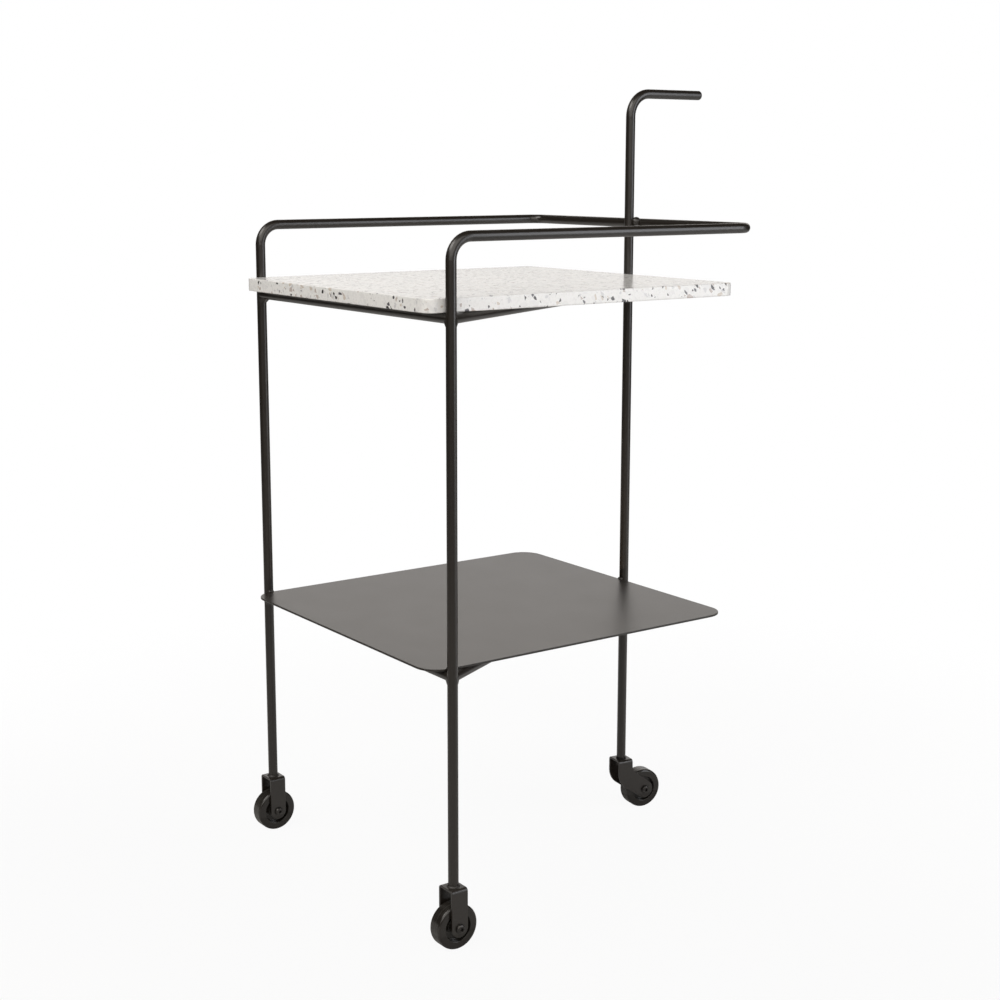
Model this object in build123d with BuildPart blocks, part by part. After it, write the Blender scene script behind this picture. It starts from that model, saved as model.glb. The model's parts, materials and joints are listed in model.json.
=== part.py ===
from build123d import *
import os

os.makedirs("parts", exist_ok=True)

# Serving trolley, in millimetres. The floor is Z = 0, the push handle points to +Y, and the
# origin is under the middle of the whole object.

# Frame of round steel bar
bar_d = 12.0
bar_r = bar_d / 2
leg_x = 215.0
leg_y = -257.0
post_y = 166.0
rail_z = 800.0
rail_rear_y = post_y + bar_d
rail_bend_r = 25.0
rail_corner_r = 20.0
handle_z = 964.0
handle_end_y = 283.5
handle_bend_r = 29.0
handle_end_round = 2.5
cope_start = 2.0

# Terrazzo top and sheet steel shelf, both between the legs
panel_front_y = -283.0
top_under_z = 719.5
top_t = 15.5
top_gap = 1.0
top_corner_r = 12.0
top_edge_round = 1.2
shelf_under_z = 324.0
shelf_t = 2.5
shelf_corner_r = 28.0
shelf_edge_round = 0.5

# Welds
weld_leg = 3.8
weld_reach = 4.2
weld_plan_r = 7.2
weld_plan_s = 3.2
rail_weld_r = 6.0
rail_weld_x = 7.0
rail_weld_rise = 2.0
fork_weld_leg = 1.8
tack_r = 2.2
tack_step = 4.0

# Casters, all three with the same wheel and fork height
wheel_d = 53.0
wheel_r = wheel_d / 2
wheel_w = 19.6
wheel_shoulder_r = 3.3
wheel_recess_r = 16.8
wheel_web_t = 7.0
hub_r = 8.0
hub_w = 20.8
wheel_draft = 0.8
axle_z = wheel_r
fork_w = 21.5
fork_t = 2.75
fork_gap = 21.6
fork_outer = fork_gap + 2 * fork_t
fork_top_z = 73.0
fork_fold_r = 4.0
fork_edge_round = 0.4
trail = 31.0
rear_turn = -8.0
rear_boss_r = 12.0
rear_sweep_front_z = 41.0
rear_sweep_back_z = 57.0
rear_front_curve_r = 26.0
rear_back_curve_r = 14.0

# Axle of each wheel
screw_r = 3.0
axle_hole_r = 3.2
screw_head_r = 5.6
screw_head_h = 3.6
screw_rim_h = 0.8
screw_flat_r = 3.0
socket_flats = 4.0
socket_depth = 2.3
screw_tip_chamfer = 0.5
nut_flats = 10.0
nut_h = 3.2
nut_chamfer = 0.6
sleeve_r = 5.0
sleeve_bore_r = 3.1
bush_r = 6.5
bush_bore_r = 5.05

# Swivel of the rear caster
swivel_play = 0.1
thrust_washer_r = 7.0
thrust_washer_t = 1.0
shoulder_r = 4.0
washer_bore_r = 4.1
swivel_bush_r = 5.5
swivel_bush_bore_r = 4.05
swivel_flange_r = 7.0
swivel_flange_t = 1.0
swivel_head_r = 6.5
swivel_head_h = 5.0
swivel_socket_flats = 5.0
swivel_socket_depth = 2.8
swivel_thread_l = 14.0

# Places worked out from the sizes above
post_end_z = fork_top_z + swivel_play + thrust_washer_t
upper_bar_z = top_under_z - bar_r
lower_bar_z = shelf_under_z - bar_r
shelf_top_z = shelf_under_z + shelf_t
hex_corner = 2 / 3**0.5
nut_corner_r = nut_flats / 2 * hex_corner

# Floor plane under each caster, its x along the axle and its y to the caster's rear. The rear
# caster stands turned a little, as it was last pushed.
left_caster = Plane((-leg_x, leg_y, 0))
right_caster = Plane((leg_x, leg_y, 0))
rear_caster = Plane((0, post_y, 0)).rotated((0, 0, rear_turn))


def save(piece, label):
    piece.part.label = label
    export_step(piece.part, f"parts/{label}.step")


# Guard rail and both front legs: one bar with four bends
with BuildPart() as rail_hoop:
    with BuildLine():
        FilletPolyline(
            (-leg_x, leg_y, fork_top_z),
            (-leg_x, leg_y, rail_z),
            (-leg_x, rail_rear_y, rail_z),
            (leg_x, rail_rear_y, rail_z),
            (leg_x, leg_y, rail_z),
            (leg_x, leg_y, fork_top_z),
            radius=(rail_bend_r, rail_corner_r, rail_corner_r, rail_bend_r),
        )
    with BuildSketch(Plane((-leg_x, leg_y, fork_top_z))):
        Circle(bar_r)
    sweep()
save(rail_hoop, "rail_hoop")

# Rear post: one bar, bent over at the top into the handle, tapped at the foot for the swivel
with BuildPart() as rear_post:
    with BuildLine():
        FilletPolyline(
            (0, post_y, post_end_z),
            (0, post_y, handle_z),
            (0, handle_end_y, handle_z),
            radius=handle_bend_r,
        )
    with BuildSketch(Plane((0, post_y, post_end_z))):
        Circle(bar_r)
    sweep()
    handle_end = rear_post.faces().sort_by(Axis.Y)[-1]
    fillet(handle_end.edges(), handle_end_round)
    with BuildSketch(Plane((0, post_y, post_end_z))):
        Circle(screw_r)
    extrude(amount=swivel_thread_l, mode=Mode.SUBTRACT)
save(rear_post, "rear_post")


def weld_collar(joint, run, other_run):
    """Fillet weld round the end of a bar that runs out from a leg, up to the next bar's weld."""
    across = run.cross(Vector(0, 0, 1))
    with BuildPart() as collar:
        with BuildSketch(Plane(joint, x_dir=run, z_dir=across)):
            with BuildLine():
                Polyline(
                    (0, bar_r),
                    (bar_r + weld_reach, bar_r),
                    (bar_r, bar_r + weld_leg),
                    (0, bar_r + weld_leg),
                    close=True,
                )
            make_face()
        revolve(axis=Axis(joint, run))
        with BuildSketch(Plane(joint + run * weld_plan_s)):
            Circle(weld_plan_r)
        extrude(amount=bar_d, both=True, mode=Mode.INTERSECT)
        with BuildSketch(Plane(joint)):
            Circle(bar_r)
        extrude(amount=bar_d, both=True, mode=Mode.SUBTRACT)
        split(bisect_by=Plane(joint, z_dir=run - other_run), keep=Keep.TOP)
        split(bisect_by=Plane(joint).offset(bar_r), keep=Keep.BOTTOM)
    return collar.part


# Two triangles of crossbars. Each end is coped to the round of the leg that it meets, the side
# bars are also coped to the front bar, and they share a mitre in the middle at the post.
for level, bar_z in (("upper", upper_bar_z), ("lower", lower_bar_z)):
    left_leg = Vector(-leg_x, leg_y, bar_z)
    right_leg = Vector(leg_x, leg_y, bar_z)
    post = Vector(0, post_y, bar_z)

    with BuildPart() as front_bar:
        with BuildSketch(Plane(left_leg + (cope_start, 0, 0), z_dir=(1, 0, 0))):
            Circle(bar_r)
        extrude(amount=2 * (leg_x - cope_start))
        add(rail_hoop.part, mode=Mode.SUBTRACT)
    save(front_bar, f"{level}_front_crossbar")

    for side, leg, kept in (("left", left_leg, Keep.BOTTOM), ("right", right_leg, Keep.TOP)):
        run = (post - leg).normalized()
        with BuildPart() as side_bar:
            with BuildSketch(Plane(leg + run * cope_start, z_dir=run)):
                Circle(bar_r)
            extrude(amount=(post - leg).length - 2 * cope_start)
            for met in (rail_hoop, rear_post, front_bar):
                add(met.part, mode=Mode.SUBTRACT)
            split(bisect_by=Plane.YZ, keep=kept)
        save(side_bar, f"{level}_{side}_crossbar")

    # Weld metal round each bar end, level with the bars' tops so that the panel above lies flat
    with BuildPart() as frame_welds:
        for joint, first_end, second_end in (
            (left_leg, right_leg, post),
            (right_leg, left_leg, post),
            (post, left_leg, right_leg),
        ):
            first_run = (first_end - joint).normalized()
            second_run = (second_end - joint).normalized()
            add(weld_collar(joint, first_run, second_run))
            add(weld_collar(joint, second_run, first_run))
    save(frame_welds, f"{level}_frame_welds")

# Welds in the two valleys where the guard rail passes behind the post
with BuildPart() as rail_welds:
    with Locations(
        (-rail_weld_x, post_y + bar_r, rail_z + rail_weld_rise),
        (rail_weld_x, post_y + bar_r, rail_z + rail_weld_rise),
    ):
        Sphere(rail_weld_r)
    for met in (rail_hoop, rear_post):
        add(met.part, mode=Mode.SUBTRACT)
save(rail_welds, "rail_welds")

# Polished terrazzo slab, lying on the upper triangle between the legs
top_w = 2 * (leg_x - bar_r - top_gap)
top_rear_y = post_y - bar_r - top_gap
with BuildPart() as terrazzo_top:
    with BuildSketch(Plane((0, (panel_front_y + top_rear_y) / 2, top_under_z))):
        RectangleRounded(top_w, top_rear_y - panel_front_y, top_corner_r)
    extrude(amount=top_t)
    flat_faces = terrazzo_top.faces().filter_by(Axis.Z)
    fillet(flat_faces.edges(), top_edge_round)
save(terrazzo_top, "terrazzo_top")

# Flat sheet steel shelf, its edges against the legs and its underside on the lower triangle
shelf_w = 2 * (leg_x - bar_r)
shelf_rear_y = post_y - bar_r
with BuildPart() as lower_shelf:
    with BuildSketch(Plane((0, (panel_front_y + shelf_rear_y) / 2, shelf_under_z))):
        RectangleRounded(shelf_w, shelf_rear_y - panel_front_y, shelf_corner_r)
    extrude(amount=shelf_t)
    flat_faces = lower_shelf.faces().filter_by(Axis.Z)
    fillet(flat_faces.edges(), shelf_edge_round)
save(lower_shelf, "lower_shelf")

# Tack welds on top of the shelf, two spots where it touches each leg
with BuildPart() as shelf_tack_welds:
    for step in (-tack_step / 2, tack_step / 2):
        with Locations(
            (-leg_x + bar_r, leg_y + step, shelf_top_z),
            (leg_x - bar_r, leg_y + step, shelf_top_z),
            (step, post_y - bar_r, shelf_top_z),
        ):
            Sphere(tack_r)
    for met in (rail_hoop, rear_post, lower_shelf):
        add(met.part, mode=Mode.SUBTRACT)
    split(bisect_by=Plane.XY.offset(shelf_top_z), keep=Keep.TOP)
save(shelf_tack_welds, "shelf_tack_welds")


def across_plane(caster):
    """Upright plane across a caster, its x along the axle and its y up from the floor."""
    return Plane(caster.origin, x_dir=caster.x_dir, z_dir=-caster.y_dir)


def along_plane(caster):
    """Upright plane along a caster, its x to the rear and its y up from the floor."""
    return Plane(caster.origin, x_dir=caster.y_dir, z_dir=caster.x_dir)


def strap_section(caster):
    """The strap folded into a U, as its cross-section over the wheel."""
    with BuildSketch(across_plane(caster)) as section:
        Rectangle(fork_outer, fork_top_z, align=(Align.CENTER, Align.MIN))
        fillet(section.vertices().group_by(Axis.Y)[-1], fork_fold_r)
        Rectangle(
            fork_gap,
            fork_top_z - fork_t,
            align=(Align.CENTER, Align.MIN),
            mode=Mode.SUBTRACT,
        )
        inside_fold_z = fork_top_z - fork_t
        inside_folds = section.vertices().filter_by_position(Axis.Y, inside_fold_z, inside_fold_z)
        fillet(inside_folds, fork_fold_r - fork_t)
    return section.sketch


def plate_outline(fork, caster):
    """Edges all round the fork's two plates, without their holes and fold lines."""
    outer_wires = [face.outer_wire() for face in fork.faces().filter_by(Axis((0, 0, 0), caster.x_dir))]
    edges = ShapeList(edge for wire in outer_wires for edge in wire.edges())
    return edges.filter_by_position(Axis.Z, 0, fork_top_z - fork_fold_r - fork_edge_round)


# Fixed fork under each front leg: straight plates with round ends about the axle
for name, caster in (("front_left", left_caster), ("front_right", right_caster)):
    with BuildPart() as fork:
        extrude(strap_section(caster), amount=fork_w / 2, both=True)
        with BuildSketch(along_plane(caster)):
            with Locations((0, axle_z)):
                Circle(fork_w / 2)
                Rectangle(fork_w, fork_top_z, align=(Align.CENTER, Align.MIN))
                Circle(axle_hole_r, mode=Mode.SUBTRACT)
        extrude(amount=fork_outer, both=True, mode=Mode.INTERSECT)
        fillet(plate_outline(fork, caster), fork_edge_round)
    save(fork, f"{name}_fork")

# Weld ring round the foot of each front leg, on its fork
with BuildPart() as fork_welds:
    for x in (-leg_x, leg_x):
        with BuildSketch(Plane((x, leg_y, fork_top_z), x_dir=(1, 0, 0), z_dir=(0, -1, 0))):
            with BuildLine():
                Polyline(
                    (bar_r, 0),
                    (bar_r + fork_weld_leg, 0),
                    (bar_r, fork_weld_leg),
                    close=True,
                )
            make_face()
        revolve(axis=Axis((x, leg_y, 0), (0, 0, 1)))
save(fork_welds, "fork_welds")

# Swivelling fork under the post: the plates sweep back in two curves to a boss at the axle
with BuildPart() as rear_fork:
    extrude(strap_section(rear_caster), amount=trail + rear_boss_r, both=True)
    with BuildSketch(along_plane(rear_caster)) as outline:
        front_corner = Vector(-fork_w / 2, rear_sweep_front_z)
        back_corner = Vector(fork_w / 2, rear_sweep_back_z)
        with BuildLine():
            CenterArc((trail, axle_z), rear_boss_r, 0, 360)
            Line(front_corner, back_corner)
        make_hull()
        with BuildLine():
            Polyline(
                front_corner,
                (-fork_w / 2, fork_top_z),
                (fork_w / 2, fork_top_z),
                back_corner,
                close=True,
            )
        make_face()
        fillet(outline.vertices().sort_by_distance(front_corner)[0], rear_front_curve_r)
        fillet(outline.vertices().sort_by_distance(back_corner)[0], rear_back_curve_r)
        with Locations((trail, axle_z)):
            Circle(axle_hole_r, mode=Mode.SUBTRACT)
    extrude(amount=fork_outer, both=True, mode=Mode.INTERSECT)
    fillet(plate_outline(rear_fork, rear_caster), fork_edge_round)
    with BuildSketch(Plane((0, post_y, fork_top_z))):
        Circle(swivel_bush_r)
    extrude(amount=-fork_t, mode=Mode.SUBTRACT)
save(rear_fork, "rear_fork")

# Thrust washer between the post's foot and the fork
with BuildPart() as thrust_washer:
    with BuildSketch(Plane((0, post_y, fork_top_z + swivel_play))):
        Circle(thrust_washer_r)
        Circle(washer_bore_r, mode=Mode.SUBTRACT)
    extrude(amount=thrust_washer_t)
save(thrust_washer, "thrust_washer")

# Flanged bush in the top of the fork, flange inside
flange_z = fork_top_z - fork_t - swivel_flange_t
with BuildPart() as swivel_bush:
    with BuildSketch(Plane((0, post_y, flange_z))):
        Circle(swivel_flange_r)
    extrude(amount=swivel_flange_t)
    with BuildSketch(Plane((0, post_y, fork_top_z))):
        Circle(swivel_bush_r)
    extrude(amount=-fork_t)
    with BuildSketch(Plane((0, post_y, flange_z))):
        Circle(swivel_bush_bore_r)
    extrude(amount=fork_t + swivel_flange_t, mode=Mode.SUBTRACT)
save(swivel_bush, "swivel_bush")

# Shoulder screw up through the bush and the washer into the post, with a socket in its head
head_top_z = flange_z - swivel_play
with BuildPart() as swivel_screw:
    with BuildSketch(Plane((0, post_y, head_top_z))):
        Circle(swivel_head_r)
    extrude(amount=-swivel_head_h)
    with BuildSketch(Plane((0, post_y, head_top_z))):
        Circle(shoulder_r)
    extrude(amount=post_end_z - head_top_z)
    with BuildSketch(Plane((0, post_y, post_end_z))):
        Circle(screw_r)
    extrude(amount=swivel_thread_l - screw_tip_chamfer)
    chamfer(swivel_screw.edges().sort_by(Axis.Z)[-1], screw_tip_chamfer)
    with BuildSketch(Plane((0, post_y, head_top_z - swivel_head_h))):
        RegularPolygon(swivel_socket_flats / 2 * hex_corner, 6)
    extrude(amount=swivel_socket_depth, mode=Mode.SUBTRACT)
save(swivel_screw, "swivel_screw")

# Wheel and axle of each caster
for name, caster, setback in (
    ("front_left", left_caster, 0),
    ("front_right", right_caster, 0),
    ("rear", rear_caster, trail),
):
    middle = caster.from_local_coords(Vector(0, setback, axle_z))
    axle = Axis(middle, caster.x_dir)
    section_plane = Plane(middle, x_dir=caster.x_dir, z_dir=-caster.y_dir)
    middle_plane = Plane(middle, z_dir=caster.x_dir)
    head_plane = middle_plane.offset(fork_outer / 2)
    nut_plane = Plane(middle - caster.x_dir * fork_outer / 2, z_dir=-caster.x_dir)

    # Moulded wheel: rounded shoulders, a deep recess each side and a long hub
    with BuildPart() as wheel:
        with BuildSketch(section_plane) as half:
            with BuildLine():
                Polyline(
                    (0, bush_r),
                    (hub_w / 2, bush_r),
                    (hub_w / 2, hub_r),
                    (wheel_web_t / 2, hub_r + wheel_draft),
                    (wheel_web_t / 2, wheel_recess_r - wheel_draft),
                    (wheel_w / 2, wheel_recess_r),
                    (wheel_w / 2, wheel_r),
                    (0, wheel_r),
                )
                mirror(about=Plane.YZ)
            make_face()
            fillet(half.vertices().group_by(Axis.Y)[-1], wheel_shoulder_r)
            recess = half.vertices().filter_by_position(Axis.Y, hub_r, wheel_recess_r)
            fillet(recess, wheel_draft)
        revolve(axis=axle)
    save(wheel, f"{name}_wheel")

    # Plain bearing pressed into the hub
    with BuildPart() as wheel_bush:
        with BuildSketch(middle_plane):
            Circle(bush_r)
            Circle(bush_bore_r, mode=Mode.SUBTRACT)
        extrude(amount=hub_w / 2, both=True)
    save(wheel_bush, f"{name}_wheel_bush")

    # Sleeve clamped between the plates, on which the bush turns
    with BuildPart() as sleeve:
        with BuildSketch(middle_plane):
            Circle(sleeve_r)
            Circle(sleeve_bore_r, mode=Mode.SUBTRACT)
        extrude(amount=fork_gap / 2, both=True)
    save(sleeve, f"{name}_axle_sleeve")

    # Button-head screw through the plates and the sleeve
    with BuildPart() as screw:
        with BuildSketch(section_plane):
            with BuildLine():
                head_x = fork_outer / 2
                tip_x = -fork_outer / 2 - screw_head_h
                shank = Polyline(
                    (head_x + screw_head_h, screw_flat_r),
                    (head_x + screw_head_h, 0),
                    (tip_x, 0),
                    (tip_x, screw_r - screw_tip_chamfer),
                    (tip_x + screw_tip_chamfer, screw_r),
                    (head_x, screw_r),
                    (head_x, screw_head_r),
                    (head_x + screw_rim_h, screw_head_r),
                )
                TangentArc(shank @ 1, shank @ 0, tangent=(1, 0))
            make_face()
        revolve(axis=axle)
        with BuildSketch(head_plane.offset(screw_head_h)):
            RegularPolygon(socket_flats / 2 * hex_corner, 6)
        extrude(amount=-socket_depth, mode=Mode.SUBTRACT)
    save(screw, f"{name}_axle_screw")

    # Thin hexagon nut on the other side, its corners chamfered
    with BuildPart() as nut:
        with BuildSketch(nut_plane):
            Circle(nut_corner_r)
        extrude(amount=nut_h)
        chamfer(nut.edges().sort_by(axle)[0], nut_chamfer)
        with BuildSketch(nut_plane):
            RegularPolygon(nut_corner_r, 6)
            Circle(screw_r, mode=Mode.SUBTRACT)
        extrude(amount=nut_h, mode=Mode.INTERSECT)
    save(nut, f"{name}_axle_nut")
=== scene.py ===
import itertools
import json
import math
import bmesh
import bpy
from mathutils import Matrix, Vector

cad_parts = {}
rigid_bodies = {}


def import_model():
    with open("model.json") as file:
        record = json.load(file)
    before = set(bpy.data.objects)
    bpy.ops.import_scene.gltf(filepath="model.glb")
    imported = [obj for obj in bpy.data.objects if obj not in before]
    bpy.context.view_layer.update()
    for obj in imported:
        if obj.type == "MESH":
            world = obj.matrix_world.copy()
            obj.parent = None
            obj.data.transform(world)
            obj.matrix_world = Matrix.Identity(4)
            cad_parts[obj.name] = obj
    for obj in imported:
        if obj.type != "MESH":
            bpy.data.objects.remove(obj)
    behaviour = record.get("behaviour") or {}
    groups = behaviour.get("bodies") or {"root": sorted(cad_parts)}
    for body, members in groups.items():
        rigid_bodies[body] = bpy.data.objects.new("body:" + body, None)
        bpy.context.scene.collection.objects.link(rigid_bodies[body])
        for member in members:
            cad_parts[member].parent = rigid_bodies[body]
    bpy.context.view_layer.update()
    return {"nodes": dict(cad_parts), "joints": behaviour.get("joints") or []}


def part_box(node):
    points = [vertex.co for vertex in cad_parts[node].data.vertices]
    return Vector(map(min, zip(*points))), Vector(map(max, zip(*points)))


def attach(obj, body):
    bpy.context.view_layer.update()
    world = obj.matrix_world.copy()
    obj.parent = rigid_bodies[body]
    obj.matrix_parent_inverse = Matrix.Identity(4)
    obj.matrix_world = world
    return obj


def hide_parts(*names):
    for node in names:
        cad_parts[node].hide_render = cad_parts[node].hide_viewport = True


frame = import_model()

# The two bent bars: the hoop of both front legs with the guard rail, and the rear post with the handle.
# Round steel bar of 12 mm, cold bent, then powder coated in satin black after all the welding.
# The coat is a baked film: a warm near-black with a fine orange-peel skin and a little settled dust.
coat_dark = (0.0092, 0.0066, 0.0044, 1.0)
coat_light = (0.0128, 0.0098, 0.0070, 1.0)
coat_dust = (0.062, 0.058, 0.052, 1.0)
coat_gloss = 0.31
coat_index = 1.62
coat_round = 0.0004
peel_size = 0.0017
peel_depth = 0.00002
peel_strength = 0.15
grain_size = 0.00032
cloud_size = 0.045
gloss_spread = 0.03
dust_dulls = 0.06
bar_dust = 0.35
edge_samples = 4


class Shade:
    """A shader socket: arithmetic on it adds Math nodes, and node() adds any other node."""

    def __init__(self, tree, socket=None):
        self.tree = tree
        self.socket = socket

    def node(self, kind, settings=None, sockets=None):
        made = self.tree.nodes.new(kind)
        for name, value in (settings or {}).items():
            if name == "stops":
                while len(made.color_ramp.elements) < len(value):
                    made.color_ramp.elements.new(1.0)
                for stop, (at, colour) in zip(made.color_ramp.elements, value):
                    stop.position = at
                    stop.color = colour
            elif name == "steps":
                made.color_ramp.interpolation = value
            else:
                setattr(made, name, value)
        for key, value in (sockets or {}).items():
            if isinstance(value, Shade):
                self.tree.links.new(value.socket, made.inputs[key])
            else:
                made.inputs[key].default_value = value
        return Shade(self.tree, made.outputs[0] if made.outputs else None)

    def __getitem__(self, output):
        return Shade(self.tree, self.socket.node.outputs[output])

    def maths(self, operation, first, second=0.0):
        return self.node("ShaderNodeMath", {"operation": operation}, {0: first, 1: second})

    def __add__(self, other):
        return self.maths("ADD", self, other)

    def __radd__(self, other):
        return self.maths("ADD", other, self)

    def __sub__(self, other):
        return self.maths("SUBTRACT", self, other)

    def __rsub__(self, other):
        return self.maths("SUBTRACT", other, self)

    def __mul__(self, other):
        return self.maths("MULTIPLY", self, other)

    def __rmul__(self, other):
        return self.maths("MULTIPLY", other, self)


def new_finish(name):
    """An empty material, and the pen that writes its nodes."""
    material = bpy.data.materials.new(name)
    material.use_nodes = True
    material.node_tree.nodes.clear()
    return material, Shade(material.node_tree)


def object_place(pen):
    return pen.node("ShaderNodeTexCoord")["Object"]


def speckle(pen, place, size, detail=2.0):
    """Soft noise from 0 to 1 whose blobs are about this size, in metres."""
    return pen.node("ShaderNodeTexNoise", {}, {"Vector": place, "Scale": 1 / size, "Detail": detail})[0]


def fade(pen, value, start, end):
    """0 before start and 1 after end, with a smooth step between them."""
    return pen.node("ShaderNodeMapRange", {"interpolation_type": "SMOOTHSTEP"},
                    {"Value": value, "From Min": start, "From Max": end})


def mix(pen, share, first, second):
    """One colour running into another."""
    return pen.node("ShaderNodeMix", {"data_type": "RGBA"}, {0: share, 6: first, 7: second})[2]


def bumped(pen, height, depth, strength, under=None):
    """A normal raised by this height, on top of another normal."""
    sockets = {"Height": height, "Distance": depth, "Strength": strength}
    if under is not None:
        sockets["Normal"] = under
    return pen.node("ShaderNodeBump", {}, sockets)


def lay(pen, **sockets):
    """The shader itself: its sockets are named as in Blender, with _ for a space."""
    named = {key.replace("_", " "): value for key, value in sockets.items()}
    surface = pen.node("ShaderNodeBsdfPrincipled", {}, named)
    pen.node("ShaderNodeOutputMaterial", {}, {"Surface": surface})


def rounded(pen, radius):
    """A normal that rounds off sharp edges."""
    return pen.node("ShaderNodeBevel", {"samples": edge_samples}, {"Radius": radius})


def powder_coat(name, gloss, dust):
    """The baked coat, with dust from 0 to 1 on the faces that look up."""
    material, pen = new_finish(name)
    place = object_place(pen)
    cloud = speckle(pen, place, cloud_size, 3.0)
    peel = speckle(pen, place, peel_size, 1.0)
    grain = speckle(pen, place, grain_size, 1.0)
    facing = pen.node("ShaderNodeTexCoord")["Normal"]
    facing_up = pen.node("ShaderNodeSeparateXYZ", {}, {0: facing})["Z"]
    settled = fade(pen, facing_up, 0.55, 1.0) * fade(pen, cloud, 0.35, 0.75) * dust
    film = mix(pen, 0.5 * cloud + 0.5 * grain, coat_dark, coat_light)
    skin = bumped(pen, 0.75 * peel + 0.25 * grain, peel_depth, peel_strength, rounded(pen, coat_round))
    sheen = gloss - gloss_spread + gloss_spread * cloud + gloss_spread * grain + dust_dulls * settled
    lay(pen, Base_Color=mix(pen, settled, film, coat_dust), Roughness=sheen, IOR=coat_index, Normal=skin)
    return material


def dress(material, *nodes):
    """Gives CAD nodes this finish."""
    for node in nodes:
        for slot in frame["nodes"][node].material_slots:
            slot.material = material


bar_coat = powder_coat("bar_coat", coat_gloss, bar_dust)
dress(bar_coat, "rail_hoop", "rear_post")

# The six crossbars: a triangle of the same bar under the top and another under the shelf.
# Sawn to length, their ends coped to the legs and welded, then coated with the rest.
levels = ("upper", "lower")
for level in levels:
    dress(bar_coat, *(f"{level}_{side}_crossbar" for side in ("front", "left", "right")))

# The welds: flat fillets under the crossbar ends, beads at the guard rail and tacks along the shelf.
# Laid by hand in steel and coated over, so each bead keeps a soft, lumpy skin. The fillets thin out up
# the sides of each bar, and stand for the frame's plainer collars.
weld_lump = 0.0021
weld_lump_depth = 0.0003
weld_lump_strength = 0.5
weld_dull = 0.02
weld_leg = 0.0050
weld_sink = 0.0015
weld_hollow = 0.1
weld_thin = 0.06
weld_facets = 8
weld_steps = 32
weld_crease = math.radians(40)


def coated_weld(name):
    """The same coat, lying over lumpy weld metal."""
    material, pen = new_finish(name)
    place = object_place(pen)
    lumps = speckle(pen, place, weld_lump, 1.5)
    grain = speckle(pen, place, grain_size, 1.0)
    film = mix(pen, lumps, coat_dark, coat_light)
    skin = bumped(pen, lumps, weld_lump_depth, weld_lump_strength)
    lay(pen, Base_Color=film, Roughness=coat_gloss + weld_dull + 0.06 * grain, IOR=coat_index, Normal=skin)
    return material


def weld_fillet(radius):
    """A fillet under a bar that runs along X, out of an upright leg of the same radius at the origin."""
    profile = [(weld_leg, -weld_sink), (-weld_sink, -weld_sink), (-weld_sink, weld_leg)]
    for facet in range(weld_facets + 1):
        share = facet / weld_facets
        turn = share * math.pi / 2
        out = weld_leg * (weld_hollow * (1 - math.cos(turn)) + (1 - weld_hollow) * share)
        down = weld_leg * (weld_hollow * (1 - math.sin(turn)) + (1 - weld_hollow) * (1 - share))
        profile.append((out, down))
    shape = bmesh.new()
    loop = [shape.verts.new((out, 0.0, -radius - down)) for out, down in profile]
    edges = [shape.edges.new(pair) for pair in zip(loop, loop[1:] + loop[:1])]
    bmesh.ops.rotate(shape, verts=loop, matrix=Matrix.Rotation(-math.pi / 2, 3, "X"))
    bmesh.ops.spin(shape, geom=loop + edges, axis=(1, 0, 0), angle=math.pi, steps=weld_steps)
    bmesh.ops.holes_fill(shape, edges=[edge for edge in shape.edges if edge.is_boundary])
    for corner in shape.verts:
        side = math.atan2(corner.co.y, -corner.co.z)
        thin = max(math.cos(side), weld_thin)
        out, down = (depth * thin if depth > 0 else depth
                     for depth in (corner.co.x, corner.co.yz.length - radius))
        down = min(down, radius / max(abs(math.sin(side)), weld_thin) - radius)
        across = (radius + down) * math.sin(side)
        leg_face = math.sqrt(max(radius ** 2 - across ** 2, 0.0))
        corner.co = (leg_face + out, across, -(radius + down) * math.cos(side))
    bmesh.ops.recalc_face_normals(shape, faces=shape.faces)
    for face in shape.faces:
        face.smooth = True
    for edge in shape.edges:
        edge.smooth = edge.calc_face_angle() < weld_crease
    fillet = bpy.data.meshes.new("weld_fillet")
    shape.to_mesh(fillet)
    shape.free()
    return fillet


weld_coat = coated_weld("weld_coat")
dress(weld_coat, "rail_welds", "shelf_tack_welds")
legs = [Vector(joint["pos_m"]).xy for joint in frame["joints"] if joint["parent"] == "frame"]
for level in levels:
    low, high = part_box(f"{level}_front_crossbar")
    fillet = weld_fillet((high.z - low.z) / 2)
    shape = bmesh.new()
    for leg, far_leg in itertools.permutations(legs, 2):
        run = far_leg - leg
        shape.from_mesh(fillet)
        shape.verts.ensure_lookup_table()
        bar_end = Matrix.Translation((leg.x, leg.y, (low.z + high.z) / 2))
        heading = Matrix.Rotation(math.atan2(run.y, run.x), 4, "Z")
        bmesh.ops.transform(shape, matrix=bar_end @ heading, verts=shape.verts[-len(fillet.vertices):])
    mesh = bpy.data.meshes.new(f"{level}_frame_fillets")
    shape.to_mesh(mesh)
    shape.free()
    mesh.materials.append(weld_coat)
    fillets = bpy.data.objects.new(mesh.name, mesh)
    bpy.context.scene.collection.objects.link(fillets)
    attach(fillets, "frame")
    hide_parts(f"{level}_frame_welds")

# The lower shelf: one flat steel sheet of 2.5 mm with rounded corners, laser cut and broken at its edges.
# Welded down on the lower triangle and coated with the frame, it is wiped and carries little dust.
shelf_dull = 0.05
shelf_dust = 0.15
dress(powder_coat("shelf_coat", coat_gloss + shelf_dull, shelf_dust), "lower_shelf")

# The three forks: a strap of steel folded into a U, with a hole for the axle in each side plate.
# The front two are welded to the legs by a dull ring, the rear one turns on the post; all are coated.
casters = ("front_left", "front_right", "rear")
fork_dull = 0.02
fork_weld_dull = 0.25
fork_dust = 0.2
fork_coat = powder_coat("fork_coat", coat_gloss + fork_dull, fork_dust)
dress(fork_coat, *(f"{caster}_fork" for caster in casters))
dress(powder_coat("fork_weld_coat", coat_gloss + fork_weld_dull, fork_dust), "fork_welds")

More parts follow.
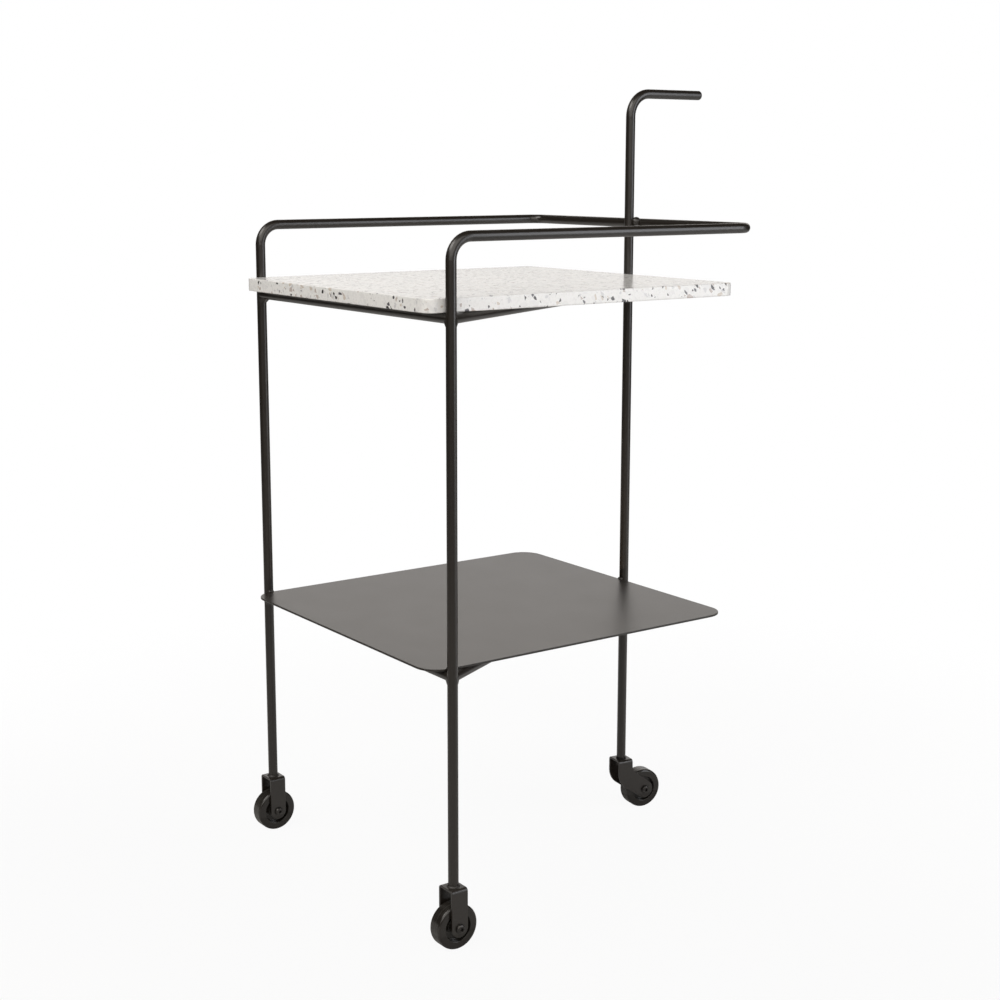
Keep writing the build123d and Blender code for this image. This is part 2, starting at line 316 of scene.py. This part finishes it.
# The axle screws and their thin nuts, the swivel screw and its thrust washer: steel, blackened in a bath.
# A button head with a hexagon socket shows on one side of each fork, the nut on the other.
# The swivel screw's head sits inside the rear fork, and the washer is a dark line between post and fork.
black_oxide = (0.050, 0.047, 0.045, 1.0)
worn_oxide = (0.170, 0.162, 0.155, 1.0)
bath_size = 0.004
scratch_size = 0.0006
scratch_depth = 0.00003
fastener_round = 0.0002


def blackened_steel(name):
    """Black oxide, patchy from the bath and rubbed grey in places."""
    material, pen = new_finish(name)
    place = object_place(pen)
    bath = speckle(pen, place, bath_size, 3.0)
    scratch = speckle(pen, place, scratch_size, 2.0)
    rubbed = fade(pen, bath * scratch, 0.30, 0.42)
    skin = bumped(pen, scratch, scratch_depth, 0.4, rounded(pen, fastener_round))
    lay(pen, Base_Color=mix(pen, rubbed, black_oxide, worn_oxide), Metallic=0.9,
        Roughness=0.34 + 0.14 * bath, Normal=skin)
    return material


fastener_black = blackened_steel("fastener_black")
dress(fastener_black, "swivel_screw", "thrust_washer")
for caster in casters:
    dress(fastener_black, f"{caster}_axle_screw", f"{caster}_axle_nut")

# The bare steel pieces: the sleeves on the axles, clamped between the plates of each fork.
# Turned and left bright under a thin zinc film, with the fine lines of the tool.
zinc_bright = (0.60, 0.61, 0.62, 1.0)
zinc_dull = (0.42, 0.42, 0.41, 1.0)
bloom_size = 0.003
tool_line_size = 0.00025
tool_line_depth = 0.00002


def zinc_steel(name):
    """Turned steel under zinc, with dull blooms."""
    material, pen = new_finish(name)
    place = object_place(pen)
    bloom = speckle(pen, place, bloom_size, 3.0)
    lines = speckle(pen, place, tool_line_size, 1.0)
    lay(pen, Base_Color=mix(pen, bloom, zinc_bright, zinc_dull), Metallic=1.0,
        Roughness=0.30 + 0.15 * bloom, Normal=bumped(pen, lines, tool_line_depth, 0.4))
    return material


dress(zinc_steel("zinc_steel"), *(f"{caster}_axle_sleeve" for caster in casters))

# The plain bearings: a bush in each wheel's hub and a flanged one in the top of the rear fork.
# Turned from natural acetal, waxy and off-white, with a trace of grease.
acetal_pale = (0.62, 0.60, 0.54, 1.0)
acetal_greasy = (0.36, 0.31, 0.24, 1.0)
grease_size = 0.005
lathe_line_size = 0.0004


def natural_acetal(name):
    """Waxy plastic, darker and glossier where grease lies on it."""
    material, pen = new_finish(name)
    place = object_place(pen)
    grease = fade(pen, speckle(pen, place, grease_size, 3.0), 0.52, 0.72)
    lathe = speckle(pen, place, lathe_line_size, 1.0)
    lay(pen, Base_Color=mix(pen, grease, acetal_pale, acetal_greasy), Roughness=0.46 - 0.16 * grease,
        Normal=bumped(pen, lathe, tool_line_depth, 0.3))
    return material


dress(natural_acetal("natural_acetal"), "swivel_bush", *(f"{caster}_wheel_bush" for caster in casters))

# The three wheels: black nylon, injection moulded in one, with a recess round the hub and a round shoulder.
# The running surface is scuffed by the floor, in streaks that follow the turning of the wheel.
nylon_black = (0.0125, 0.0105, 0.0085, 1.0)
nylon_flow = (0.0172, 0.0150, 0.0126, 1.0)
scuff_grey = (0.042, 0.039, 0.035, 1.0)
scuff_depth = 0.0022
scuffs_per_metre = 900
flow_size = 0.012
nylon_grain_size = 0.0004
nylon_grain_depth = 0.00003
nylon_gloss = 0.13


def moulded_nylon(name, wheel):
    """Nylon for one wheel, scuffed round the wheel's own axle."""
    low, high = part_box(wheel)
    centre = (low + high) / 2
    tread_radius = (high.z - low.z) / 2
    axle = next(joint for joint in frame["joints"] if joint["child"] == wheel)["axis"]
    material, pen = new_finish(name)
    place = object_place(pen)
    centred = pen.node("ShaderNodeVectorMath", {"operation": "SUBTRACT"}, {0: place, 1: centre})
    along = pen.node("ShaderNodeVectorMath", {"operation": "DOT_PRODUCT"}, {0: centred, 1: axle})["Value"]
    reach = pen.node("ShaderNodeVectorMath", {"operation": "LENGTH"}, {0: centred})["Value"]
    radius = pen.maths("SQRT", reach * reach - along * along)
    flow = speckle(pen, place, flow_size, 2.0)
    grain = speckle(pen, place, nylon_grain_size, 1.0)
    streaks = pen.node("ShaderNodeTexNoise", {"noise_dimensions": "1D"},
                       {"W": along, "Scale": scuffs_per_metre, "Detail": 3.0})[0]
    on_tread = fade(pen, radius, tread_radius - scuff_depth, tread_radius - 0.2 * scuff_depth)
    scuffed = on_tread * fade(pen, 0.6 * streaks + 0.4 * flow, 0.40, 0.62)
    black = mix(pen, flow, nylon_black, nylon_flow)
    lay(pen, Base_Color=mix(pen, 0.6 * scuffed, black, scuff_grey),
        Roughness=nylon_gloss + 0.04 * grain + 0.22 * scuffed,
        Normal=bumped(pen, grain + 1.5 * on_tread * streaks, nylon_grain_depth, 0.35))
    return material


for caster in casters:
    wheel = f"{caster}_wheel"
    dress(moulded_nylon(f"{wheel}_nylon", wheel), wheel)

# The top: a slab of terrazzo, 15.5 mm thick, cast in white cement with crushed stone, then cut and polished.
# It lies loose on the upper triangle, between the legs. The chips run right through, so the edges show them.
cement_white = (0.862, 0.862, 0.852, 1.0)
cement_shadow = (0.81, 0.808, 0.795, 1.0)
charcoal = (0.048, 0.044, 0.047, 1.0)
slate = (0.105, 0.100, 0.112, 1.0)
ash = (0.66, 0.66, 0.665, 1.0)
pearl = (0.785, 0.785, 0.78, 1.0)
mauve = (0.53, 0.475, 0.445, 1.0)
beige = (0.64, 0.585, 0.525, 1.0)
ochre = (0.52, 0.40, 0.24, 1.0)
no_chip = (0.8, 0.8, 0.8, 0.0)
coarse_stone = [(0.0, no_chip), (0.86, pearl), (0.972, mauve), (0.985, beige)]
middle_stone = [(0.0, no_chip), (0.81, pearl), (0.885, ash), (0.925, charcoal), (0.948, slate),
                (0.972, mauve), (0.985, beige)]
fine_stone = [(0.0, no_chip), (0.72, pearl), (0.955, ash), (0.98, beige), (0.986, slate),
              (0.992, charcoal), (0.998, ochre)]
coarse_cell = 0.0062
coarse_gap = 0.10
middle_cell = 0.0040
middle_gap = 0.08
fine_cell = 0.0030
fine_gap = 0.10
splinter_turns = ((0.5, 0.3, 0.2), (-0.4, 0.7, 1.6))
splinter_stretch = (1.9, 1.0, 1.0)
noise_middle = (0.5, 0.5, 0.5)
ragged_size = 0.0028
ragged_reach = (0.0016, 0.0016, 0.0016)
cement_cloud_size = 0.0022
polish_size = 0.02
slab_gloss = 0.17
slab_round = 0.0006
chip_step = 0.00001


def stone_chips(pen, place, ground, cell, gap, stone):
    """Crushed stone of about one size on the ground so far: (colour, share of chip)."""
    sockets = {"Vector": place, "Scale": 1 / cell, "Randomness": 1.0}
    pieces = pen.node("ShaderNodeTexVoronoi", {"feature": "F1"}, sockets)
    joint = pen.node("ShaderNodeTexVoronoi", {"feature": "DISTANCE_TO_EDGE"}, sockets)
    draw = pen.node("ShaderNodeSeparateColor", {}, {0: pieces["Color"]})
    sort = pen.node("ShaderNodeValToRGB", {"stops": stone, "steps": "CONSTANT"}, {0: draw["Red"]})
    shrink = gap * (0.5 + draw["Green"])
    inside = fade(pen, joint - shrink, 0.0, 0.05)
    chip = inside * sort["Alpha"]
    return mix(pen, chip, ground, sort["Color"]), chip


def terrazzo(name):
    """Polished cement with fine, middle and coarse chips, each size laid over the one before."""
    material, pen = new_finish(name)
    place = object_place(pen)
    wobble = pen.node("ShaderNodeTexNoise", {}, {"Vector": place, "Scale": 1 / ragged_size, "Detail": 2.0})
    offset = pen.node("ShaderNodeVectorMath", {"operation": "SUBTRACT"},
                      {0: wobble["Color"], 1: noise_middle})
    rough_place = pen.node("ShaderNodeVectorMath", {"operation": "MULTIPLY_ADD"},
                           {0: offset, 1: ragged_reach, 2: place})
    shadow = fade(pen, speckle(pen, place, cement_cloud_size, 4.0), 0.42, 0.70)
    ground = mix(pen, shadow, cement_white, cement_shadow)
    ground, chips = stone_chips(pen, rough_place, ground, fine_cell, fine_gap, fine_stone)
    for turn in splinter_turns:
        along = pen.node("ShaderNodeMapping", {"vector_type": "TEXTURE"},
                         {"Vector": rough_place, "Rotation": turn, "Scale": splinter_stretch})
        ground, medium = stone_chips(pen, along, ground, middle_cell, middle_gap, middle_stone)
        chips = pen.maths("MAXIMUM", chips, medium)
    ground, large = stone_chips(pen, along, ground, coarse_cell, coarse_gap, coarse_stone)
    chips = pen.maths("MAXIMUM", chips, large)
    polish = speckle(pen, place, polish_size, 2.0)
    lay(pen, Base_Color=ground, Roughness=slab_gloss + 0.05 * polish - 0.04 * chips,
        Normal=bumped(pen, chips, chip_step, 0.2, rounded(pen, slab_round)))
    return material


dress(terrazzo("terrazzo"), "terrazzo_top")

# The floor: a plain pale studio floor of painted board with a roller's texture. Its colour is painted
# lighter to the rear left and grey elsewhere: a painted pool of light, with painted shade towards the front.
# It is wide enough to bounce light up under the trolley, and to the eye its paint is thin, thinner still
# towards the rim, so that it runs into the white background with only a soft shadow left.
floor_radius = 2.6
floor_segments = 128
floor_middle = 0.5
floor_cover = 0.06
# Painted light: the floor is painted white towards this heading as a pool of light, and grey elsewhere as
# painted shade.
painted_light_heading = (-0.6, 0.8, 0.0)
painted_light_from = -0.25
painted_light_to = 0.45
roller_size = 0.01
# The two ends of the painted light on the floor: lit white, and grey as painted shade.
floor_pale_and_painted_lit = (0.92, 0.92, 0.915, 1.0)
floor_painted_shade = (0.44, 0.435, 0.425, 1.0)
floor_mesh = bpy.data.meshes.new("studio_floor")
shape = bmesh.new()
bmesh.ops.create_circle(shape, cap_ends=True, segments=floor_segments, radius=floor_radius)
shape.to_mesh(floor_mesh)
shape.free()
floor = bpy.data.objects.new("studio_floor", floor_mesh)
bpy.context.scene.collection.objects.link(floor)
material, pen = new_finish("floor_paint_with_painted_light")
place = object_place(pen)
roller = speckle(pen, place, roller_size, 3.0)
from_middle = pen.node("ShaderNodeVectorMath", {"operation": "LENGTH"}, {0: place})["Value"]
seen = pen.node("ShaderNodeLightPath")["Is Camera Ray"]
thinned = floor_cover * (1 - fade(pen, from_middle, floor_middle, 0.5 * floor_radius))
cover = 1 - seen * (1 - thinned)
rearward = pen.node("ShaderNodeVectorMath", {"operation": "DOT_PRODUCT"}, {0: place, 1: painted_light_heading})
# The share of painted light on the floor, from the painted shade grey to the lit white.
painted_light_share = fade(pen, rearward["Value"] + 0.05 * roller, painted_light_from, painted_light_to)
paint = pen.node("ShaderNodeBsdfDiffuse", {}, {"Color": mix(pen, painted_light_share, floor_painted_shade, floor_pale_and_painted_lit)})
clear = pen.node("ShaderNodeBsdfTransparent")
pen.node("ShaderNodeOutputMaterial", {},
         {"Surface": pen.node("ShaderNodeMixShader", {}, {0: cover, 1: clear, 2: paint})})
floor_mesh.materials.append(material)

# The studio light: a warm backdrop behind with a white band at the horizon, a broad panel over the camera,
# a warm softbox above the front, a cool one with a low white fill at the right rear, and weak bounces off
# the floor and up to the slab. What the lamps leave is a dim room, and the background is white.
aim = Vector((0.0, -0.05, 0.45))
pure_white = (1.0, 1.0, 1.0)
warm_white = (1.0, 0.96, 0.91)
room_grey = (0.05, 0.047, 0.044, 1.0)


def softbox(name, place, width, height, radiance, colour, mirrored=True):
    """A panel that faces the trolley, as bright as its radiance says whatever its size."""
    lamp = bpy.data.lights.new(name, "AREA")
    lamp.shape = "RECTANGLE"
    lamp.size = width
    lamp.size_y = height
    lamp.energy = 4 * width * height * radiance
    lamp.color = colour
    holder = bpy.data.objects.new(name, lamp)
    holder.location = place
    holder.rotation_euler = (aim - Vector(place)).to_track_quat("-Z", "Y").to_euler()
    holder.visible_camera = False
    holder.visible_glossy = mirrored
    bpy.context.scene.collection.objects.link(holder)


softbox("backdrop_light", (-3.3, 2.3, 1.95), width=5.0, height=1.5, radiance=1.10, colour=(1.0, 0.95, 0.90))
softbox("horizon_light", (-3.3, 2.3, 0.64), width=5.0, height=1.12, radiance=0.60, colour=pure_white)
softbox("front_light", (2.43, -1.76, 2.45), width=5.2, height=3.4, radiance=1.45, colour=warm_white)
softbox("left_light", (-0.2, -2.1, 2.9), width=2.2, height=1.6, radiance=3.6, colour=(1.0, 0.965, 0.92))
softbox("right_light", (1.90, 1.45, 1.21), width=1.0, height=1.58, radiance=2.9, colour=(0.93, 0.95, 1.0))
softbox("right_fill", (2.0, 1.3, 0.4), width=1.6, height=0.75, radiance=0.7, colour=pure_white)
softbox("floor_bounce", (0.0, -0.05, 0.02), width=1.6, height=1.6, radiance=0.1, colour=(1.0, 0.97, 0.94))
softbox("slab_bounce", (0.0, -0.05, 0.34), width=0.4, height=0.42, radiance=1.8, colour=warm_white,
        mirrored=False)

world = bpy.data.worlds.new("studio")
world.use_nodes = True
world.node_tree.nodes.clear()
pen = Shade(world.node_tree)
seen = pen.node("ShaderNodeLightPath")["Is Camera Ray"]
room = pen.node("ShaderNodeBackground", {}, {"Color": room_grey, "Strength": 1.0})
white = pen.node("ShaderNodeBackground", {}, {"Color": (*pure_white, 1.0), "Strength": 1.0})
backdrop = pen.node("ShaderNodeMixShader", {}, {0: seen, 1: room, 2: white})
pen.node("ShaderNodeOutputWorld", {}, {"Surface": backdrop})
bpy.context.scene.world = world
bpy.context.scene.view_settings.view_transform = "Standard"

# The camera: a short telephoto at about the height of the handle, looking past the right front leg.
# Its place, turn, focal length and shift were fitted to the edges of bars, slab, shelf and wheels.
camera_place = (1.6980, -1.2541, 0.8738)
camera_heading = math.radians(54.86)
camera_down = math.radians(10.43)
lens = bpy.data.cameras.new("camera")
lens.sensor_width = 36.0
lens.lens = 60.61
lens.shift_x = 0.0128
lens.shift_y = -0.0249
camera = bpy.data.objects.new("camera", lens)
camera.location = camera_place
camera.rotation_euler = (math.pi / 2 - camera_down, 0.0, camera_heading)
bpy.context.scene.collection.objects.link(camera)
bpy.context.scene.camera = camera
